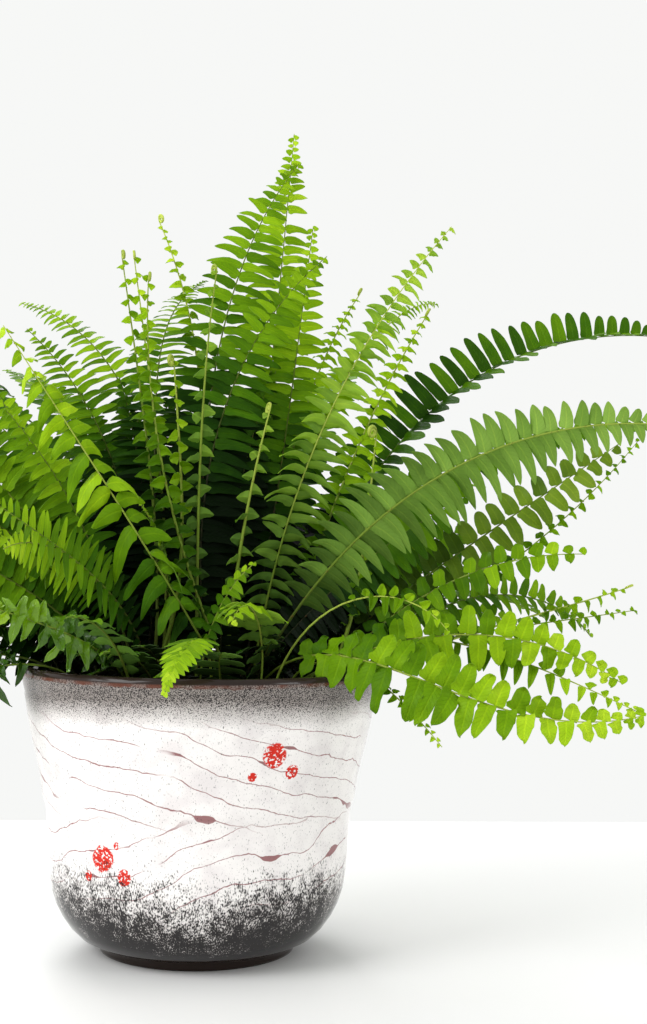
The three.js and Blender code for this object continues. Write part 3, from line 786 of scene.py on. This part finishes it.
def add_stalk(leaves, frond, line):
    """A six-sided tube along the stalk, with its coil if the tip is a young one."""
    tone_layer = leaves.verts.layers.float["tone"]
    growth = STALK_GROWTH[frond.kind] * MM
    root = seat_on(frond, line, 0) @ Matrix.Translation((0, -ROOT_DEPTH * MM, 0))
    steps = max(FEWEST_STEPS, round(frond.length / STALK_STEP))
    rings = [(root, STALK_RADIUS * growth)]
    for i in range(steps + 1):
        share = i / steps
        radius = STALK_RADIUS + (TIP_RADIUS - STALK_RADIUS) * share**STALK_TAPER
        rings.append((seat_on(frond, line, share), radius * growth))
    if frond.kind in COIL_RADIUS:
        thick = COIL_THICKNESS * COIL_RADIUS[frond.kind] * MM
        for i, seat in enumerate(coil_seats(rings[-1][0], frond.kind)):
            thin = rings[-1][1]
            aim = thick * (1 - COIL_THINS * i / COIL_STEPS)
            rings.append((seat, thin + (aim - thin) * min(1, i / COIL_SWELLS)))
    upright = Matrix.Rotation(math.radians(-90), 4, "X")
    placed = [seat @ upright @ Matrix.Scale(radius, 4) for seat, radius in rings]
    ring = bmesh.ops.create_circle(leaves, cap_ends=True, segments=STALK_SIDES, radius=1)
    bmesh.ops.transform(leaves, matrix=placed[0], verts=ring["verts"])
    tube = set(ring["verts"][0].link_faces)
    edges = list({edge for vert in ring["verts"] for edge in vert.link_edges})
    tones = {vert: STALK_BASE_TONE for vert in ring["verts"]}
    for i, (here, there) in enumerate(zip(placed, placed[1:])):
        drawn = bmesh.ops.extrude_edge_only(leaves, edges=edges)["geom"]
        verts = [item for item in drawn if isinstance(item, bmesh.types.BMVert)]
        edges = [item for item in drawn if isinstance(item, bmesh.types.BMEdge)]
        tube.update(item for item in drawn if isinstance(item, bmesh.types.BMFace))
        bmesh.ops.transform(leaves, matrix=there @ here.inverted(), verts=verts)
        along = i / len(placed)
        for vert in verts:
            # The stalk's tone carries the same painted shade as its leaflets.
            tones[vert] = tone_with_painted_shade(frond, along, vert.co) + STALK_LIGHTER[frond.kind]
    end = bmesh.ops.contextual_create(leaves, geom=edges)
    tube.update(end["faces"])
    bmesh.ops.recalc_face_normals(leaves, faces=list(tube))
    for face in tube:
        face.material_index = 2
        face.smooth = True
    for vert, value in tones.items():
        vert[tone_layer] = value


# A leaf that meets the planter's rim rests on its glaze. The faces of the glaze come in no fixed order. They
# are sorted here, so that every run finds the same one of two faces that are equally near.
RIM_REACH = 0.006
RIM_CLEARANCE = 0.0006
glaze_faces = [list(face.vertices) for face in planter.data.polygons]
glaze_faces = sorted(min(face[k:] + face[:k] for k in range(len(face))) for face in glaze_faces)
glaze_surface = BVHTree.FromPolygons([vert.co for vert in planter.data.vertices], glaze_faces)


def rest_on_the_glaze(leaves):
    for vert in leaves.verts:
        place, outwards, _, _ = glaze_surface.find_nearest(vert.co, RIM_REACH)
        if place and (vert.co - place).dot(outwards) < RIM_CLEARANCE:
            vert.co = place + RIM_CLEARANCE * outwards


SHARP_EDGE = 50  # the least angle in degrees between two faces whose edge stays sharp


def grow(frond, seed, skins, node=None):
    """Makes one frond as one piece, and lets it stand for its solid if it has one."""
    draw = random.Random(seed)
    leaves = bmesh.new()
    leaves.verts.layers.float.new("tone")
    leaves.loops.layers.uv.new("UVMap")
    line = stalk_line(frond)
    add_leaflets(leaves, frond, line, draw)
    rest_on_the_glaze(leaves)
    drawn = bmesh.ops.extrude_face_region(leaves, geom=leaves.faces[:], use_keep_orig=True)["geom"]
    upper_sides = {item for item in drawn if isinstance(item, bmesh.types.BMFace)}
    leaves.normal_update()
    for item in drawn:
        if isinstance(item, bmesh.types.BMVert):
            item.co += item.normal * BLADE_THICKNESS
    for face in leaves.faces:
        face.smooth = True
        face.material_index = 0 if face in upper_sides else 1
    for edge in leaves.edges:
        edge.smooth = edge.calc_face_angle(0) < math.radians(SHARP_EDGE)
    add_stalk(leaves, frond, line)
    piece = piece_from("fern_" + frond.name, leaves, [*skins, stalk_skin])
    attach(piece, "root")
    if node:
        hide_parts(node)


OTHER_SKINS = {"back_spire": MATURE, "long_wide_right": BROAD, "right_middle": OLIVE}


def grow_group(rows, first_seed, has_solids=True):
    """Grows one frond for each row, with the sizes in the order of Frond."""
    for number, row in enumerate(rows):
        frond = Frond(*row)
        usual = GLOSSY if frond.cut == "curly" else MATURE if frond.kind in GROWN else YOUNG
        skins = OTHER_SKINS.get(frond.name, usual)
        grow(frond, first_seed + number, skins, "frond_" + frond.name if has_solids else None)


# The tall fronds at the centre: full grown and bright, they stand almost upright. They are rooted round the
# middle of the mix, and the slender spire, which still has its coil, stands behind them.
TALL_FRONDS = [
    ("tall_back", 14, 22, 46, 17, 414, -10, 4, 40, 5, 45, 33, "mature", "pointed", 8.2, 0.66, "early"),
    ("tall_left", 4, 13, 56, -9, 410, 51, -19, 45, 5, 45, 37, "mature", "pointed", 8.4, 0.52),
    ("tall_front", 8, -4, 22, -11, 333, 60, -10, 72, 5, 45, 32, "mature", "pointed", 8.0, 0.50),
    ("tall_right", 23, 10, 24, 16, 336, -9, -5, 66, 5, 45, 28, "mature", "pointed", 8.0, 0.60, "early"),
    ("left_middle", -39, 19, 109, -16, 352, 82, -57, 0, 5, 50, 30, "mature", "fine", 6.0, 0.52),
    ("back_spire", -24, 61, 151, -15, 348, 42, -2, -30, 5, 230, 12, "curled", "oval", 9.5, 0.84),
]
grow_group(TALL_FRONDS, 100)

# The fronds of the right side, from the bright young cluster near the middle to the long old ones that reach
# far out and the pale ones that hang over the lip. They are rooted in the right half of the mix.
RIGHT_FRONDS = [
    ("bright_right", 31, -18, -15, 8, 347, 37, -17, -62, 5, 45, 25, "young", "ruffled", 7.4, 0.76),
    ("arching_thin", 56, 27, 30, -5, 405, 92, 35, 53, 8, 60, 18, "young", "oval", 8.4, 0.68),
    ("curled_right", 49, 0, 10, 14, 291, 18, 3, 68, 8, 60, 19, "curled", "ruffled", 7.4, 0.7),
    ("curled_back", 38, 39, 53, 7, 323, 32, -15, 45, 5, 60, 18, "curled", "ruffled", 7.6, 0.7),
    ("long_dark_right", 56, 10, 23, 14, 442, 84, -26, 36, 36, 60, 32, "round", "blunt", 10.0, 0.36),
    ("long_wide_right", 25, -27, -28, 29, 370, 72, 6, -48, 15, 84, 35,
     "mature", "broad", 8.8, 0.68, "late", 0, -14),
    ("right_middle", 48, -7, -10, 44, 290, 11, -1, 78, 5, 50, 20, "round", "paddle", 11.2, 0.45, "early"),
    ("right_thin", 54, 15, 9, 64, 338, -20, 16, 60, 12, 60, 11, "young", "oval", 10.5, 0.56),
    ("right_small", 65, -25, -20, 40, 222, 51, -11, 66, 10, 50, 15, "young", "paddle", 10.5, 0.58),
    ("right_arc", 86, -5, 4, 37, 233, 98, 27, 54, 26, 60, 21, "mature", "fine", 7.6, 0.56),
    ("right_low", 39, -26, -23, 56, 253, 69, 16, 72, 5, 62, 22, "round", "tongue", 11.0, 0.7),
    ("right_front_low", 31, -38, -44, 22, 285, 114, 50, 62, 5, 62, 26,
     "round", "tongue", 11.2, 0.7, "early", 60),
    ("right_lowest", 69, -6, -26, 47, 237, 35, 39, 66, 5, 74, 12, "young", "oval", 9.5, 0.58, "early"),
    ("right_front_wisp", 53, -44, -40, -4, 160, 129, -17, 24, 0, 90, 6, "young", "oval", 6.5, 0.72, "early"),
]
grow_group(RIGHT_FRONDS, 200)

# The fronds of the left side: a long pale one in front, dark fine ones behind it and glossy curly ones low
# down. They are rooted in the left half of the mix, apart from the long one, which crosses over.
LEFT_FRONDS = [
    ("left_front_long", 25, -50, -170, 29, 286, 5, -2, -86, 0, 45, 26,
     "round", "hanging", 13.2, 0.66, "early"),
    ("left_dark", -42, 14, 160, -2, 282, 52, -2, -46, 10, 50, 30, "mature", "fine", 6.4, 0.50),
    ("left_back_thin", -44, 41, 141, -16, 349, 94, 3, -38, 5, 70, 22, "mature", "fine", 7.0, 0.58),
    ("left_broad", -58, 2, 180, 18, 330, 62, -8, -30, 8, 55, 33, "mature", "pointed", 8.8, 0.56),
    ("left_leaning", -43, -20, -164, 12, 214, 32, 2, -78, 5, 50, 24, "mature", "pointed", 7.4, 0.56),
    ("left_low", -66, -28, -162, 5, 200, 112, -6, -30, 5, 55, 24, "mature", "pointed", 8.0, 0.7),
    ("left_front_fine", -37, -39, -140, -16, 193, 78, 4, -62, 12, 45, 28,
     "mature", "narrow", 6.4, 0.55, "early"),
    ("left_front_low", -40, -48, -135, 19, 145, 56, 3, -84, 5, 45, 18, "round", "curly", 8.0, 0.56, "early"),
]
grow_group(LEFT_FRONDS, 300)

# The young shoots: new stalks that stand up thin and pale among the full-grown fronds. Their leaflets are
# small and far apart, and their tips are still coiled. They are rooted between the others.
SHOOTS = [
    ("left_upright", -35, -8, 178, -9, 301, 18, 0, -70, 5, 60, 12, "curled", "oval", 13.0, 0.60, "early"),
    ("left_slender", 26, -45, -180, 24, 288, -26, 4, -82, 5, 60, 12, "curled", "oval", 13.5, 0.60),
    ("front_slender", -3, -44, -81, -7, 284, 30, 10, 10, 5, 60, 11, "curled", "oval", 13.5, 0.60),
    ("front_crozier", -45, -35, 6, 39, 232, -44, 0, 60, 0, 70, 6, "crozier", "oval", 14.0, 0.70, "early"),
    ("centre_crozier", 14, -28, -25, 4, 197, 12, -5, -47, 5, 60, 6, "crozier", "oval", 14.0, 0.70),
    ("right_crozier", 73, -36, -2, 34, 187, -29, -9, 54, 0, 60, 6, "crozier", "oval", 14.0, 0.70, "early"),
]
grow_group(SHOOTS, 400)

# The short new fronds at the front: soft and bright, most with sawn or toothed leaflets. They are rooted in
# the front half of the mix, and one of them hangs over the lip.
SHORT_FRONDS = [
    ("front_drooping", 7, -71, -95, 20, 134, 145, -36, 0, -8, 62, 19, "young", "sawn", 3.8, 0.74),
    ("front_small_right", 35, -67, -111, -30, 113, 169, -2, 0, -5, 45, 25, "young", "toothed", 7.6, 0.74),
    ("front_small_left", -28, -28, -123, -21, 148, 80, 3, -52, 0, 70, 17, "young", "toothed", 6.5, 0.7),
    ("front_small_centre", -2, -62, -29, 1, 106, 51, 1, 60, 0, 40, 13, "young", "fine", 6.2, 0.60),
]
grow_group(SHORT_FRONDS, 500)


def rooted(azimuth, radius):
    """Where a frond leaves the mix, at an azimuth and a radius."""
    return {"x": radius * math.cos(math.radians(azimuth)), "y": radius * math.sin(math.radians(azimuth))}


# The rings of fronds that fill the back and the left side, round-leaved and pointed by turns. Their places
# come from a small seeded generator, the same one that places their solids, so each follows its own solid.
RINGS = [
    # name, first and last azimuth, count, radius, lean, length, arch, half width, bare length
    ("upper", 66, 152, 4, 62, 16, 340, 56, 30, 60),
    ("middle", 40, 185, 6, 72, 32, 300, 60, 26, 60),
    ("lower", 28, 180, 7, 82, 44, 240, 76, 23, 60),
    ("skirt", -172, -120, 2, 88, 20, 110, 70, 16, 30),
]
RING_ANGLE_SPREAD = 4
RING_LENGTH_SPREAD = 0.08
RING_KINDS = [("round", "blunt", 9.6), ("mature", "pointed", 8.6)]  # kind, cut and spacing, by turns


def even_draws(state, factor=16807, top=2147483647):
    """An endless row of even draws between -1 and 1."""
    while True:
        state = state * factor % top
        yield 2 * state / top - 1


ring_draws = even_draws(2718)
for ring, first, last, count, radius, lean, length, arch, half_width, bare in RINGS:
    for i in range(count):
        kind, cut, spacing = RING_KINDS[i % 2]
        azimuth = first + (last - first) * i / (count - 1) + RING_ANGLE_SPREAD * next(ring_draws)
        frond = Frond(
            name=f"{ring}_{i + 1}",
            **rooted(azimuth, radius),
            azimuth=azimuth,
            lean=lean + RING_ANGLE_SPREAD * next(ring_draws),
            length=length * (1 + RING_LENGTH_SPREAD * next(ring_draws)),
            arch=arch,
            sweep=3 * RING_ANGLE_SPREAD * next(ring_draws),
            turn=2 * RING_ANGLE_SPREAD * next(ring_draws),
            fold=8,
            bare=bare,
            half_width=half_width,
            kind=kind,
            cut=cut,
            spacing=spacing,
            tone=0.46,
        )
        grow(frond, 600 + 10 * count + i, MATURE, "frond_" + frond.name)

# The slight fronds: thin and small ones between the others, too slight to have solids of their own. They are
# rooted in the mix as the others are, most of them in its outer half.
SLIGHT_FRONDS = [
    ("slight_left_shoot", -30, 2, 161, -10, 304, 19, 0, -65, 5, 130, 10,
     "curled", "oval", 13.0, 0.72, "early"),
    ("slight_left_far", -66, -11, 177, 9, 227, 27, 2, -79, 5, 55, 25, "mature", "pointed", 8.4, 0.56),
    ("slight_left_low", -42, -29, -147, 6, 178, 104, 30, -96, 5, 60, 24, "mature", "narrow", 5.4, 0.7),
    ("slight_left_foot", -68, -40, -158, 20, 160, 92, 0, -40, 0, 60, 24,
     "round", "curly", 7.6, 0.54, "early"),
    ("slight_left_dark", -66, -6, 178, 46, 150, 44, 0, -50, 0, 30, 26, "mature", "pointed", 7.6, 0.40),
    ("slight_left_edge", -78, -18, -176, 22, 170, 84, 0, -30, 0, 60, 23,
     "round", "curly", 7.6, 0.54, "early"),
    ("slight_right_fine", 59, 20, 6, 24, 341, 69, -15, 60, 10, 130, 13, "mature", "fine", 7.0, 0.46),
    ("slight_right_tip", 74, 1, -2, 56, 246, 20, 30, 70, 5, 170, 6, "curled", "oval", 11.0, 0.82, "early"),
    ("slight_right_hang", 60, -46, -8, 15, 247, 96, -30, 62, 5, 110, 15,
     "round", "oval", 10.5, 0.68, "early"),
    ("slight_right_arc", 42, -59, -24, 14, 168, 128, -7, 60, 5, 96, 11, "young", "oval", 9.5, 0.76),
]
grow_group(SLIGHT_FRONDS, 700, has_solids=False)

# The filling fronds: more full-grown ones that stand close behind the others at the left, in the middle and
# at the right. They are old, and their low tone is partly painted shade, for the depth behind the others.
# Each turns its upper side to the light in front.
FILLS = [
    # name, count, first and last azimuth, the ranges of radius, lean, length and arch, and the tone
    ("fill_left", 10, 138, 212, (15, 62), (6, 44), (190, 280), (20, 60), 0.46),
    ("fill_middle", 14, 20, 160, (0, 50), (-6, 14), (150, 245), (5, 30), 0.38),
    ("fill_right", 8, -22, 36, (20, 62), (16, 52), (170, 240), (20, 70), 0.42),
]
FILL_CUTS = ["pointed", "fine", "pointed", "blunt"]
MOST_TURN = 78

draw = random.Random(41)
for group, count, first, last, radius, lean, length, arch, tone in FILLS:
    for i in range(count):
        azimuth = first + (last - first) * (i + draw.random()) / count
        frond = Frond(
            name=f"{group}_{i + 1}",
            **rooted(azimuth, draw.uniform(*radius)),
            azimuth=azimuth,
            lean=draw.uniform(*lean),
            length=draw.uniform(*length),
            arch=draw.uniform(*arch),
            sweep=draw.uniform(-12, 12),
            turn=max(-MOST_TURN, min(MOST_TURN, 90 - azimuth + draw.uniform(-20, 20))),
            fold=8,
            bare=draw.uniform(30, 60),
            half_width=draw.uniform(22, 31),
            kind="mature" if i % 2 else "round",
            cut=draw.choice(FILL_CUTS),
            spacing=draw.uniform(7.2, 8.8),
            tone=tone + draw.uniform(-0.08, 0.08),
        )
        grow(frond, 740 + 10 * count + i, MATURE)

# The undergrowth: short fronds that come up between the stalks and hide the mix. Their low tone is painted
# shade, for the deep shade under the others. They are lowest in front, where they lie below the stalks of the
# taller ones, and none of them runs into the lip.
UNDERGROWTH = 52
LIP_RADIUS = 110
LIP_TOP = 190
LIP_CLEARANCE = 4
FRONT_TO = 0.15  # the sine of the azimuth up to which a frond stands in front
FRONT_LENGTHS = (45, 84)
BACK_LENGTHS = (90, 180)


def clears_the_lip(frond):
    """True if the stalk stays above the planter's lip where it passes over it."""
    for point in stalk_line(frond):
        outside = math.hypot(point.x, point.y) > LIP_RADIUS - frond.half_width / 2
        if outside and point.z < LIP_TOP + LIP_CLEARANCE:
            return False
    return True


draw = random.Random(77)
made = 0
while made < UNDERGROWTH:
    azimuth = draw.uniform(-180, 180)
    in_front = math.sin(math.radians(azimuth)) < FRONT_TO
    frond = Frond(
        name=f"under_{made + 1}",
        **rooted(azimuth, draw.uniform(24, 86)),
        azimuth=azimuth + draw.uniform(-30, 30),
        lean=draw.uniform(6, 50),
        length=draw.uniform(*(FRONT_LENGTHS if in_front else BACK_LENGTHS)),
        arch=draw.uniform(20, 90),
        sweep=draw.uniform(-30, 30),
        turn=draw.uniform(-30, 30),
        fold=5,
        bare=draw.uniform(8, 18),
        half_width=draw.uniform(13, 21),
        kind=draw.choice(["mature", "round"]),
        cut=draw.choice(["pointed", "blunt", "fine"]),
        spacing=draw.uniform(6.5, 8.5),
        # a low tone: painted shade under the taller fronds
        tone=draw.uniform(0.22, 0.44),
    )
    if clears_the_lip(frond):
        made += 1
        grow(frond, 800 + made, GLOSSY if in_front else MATURE)
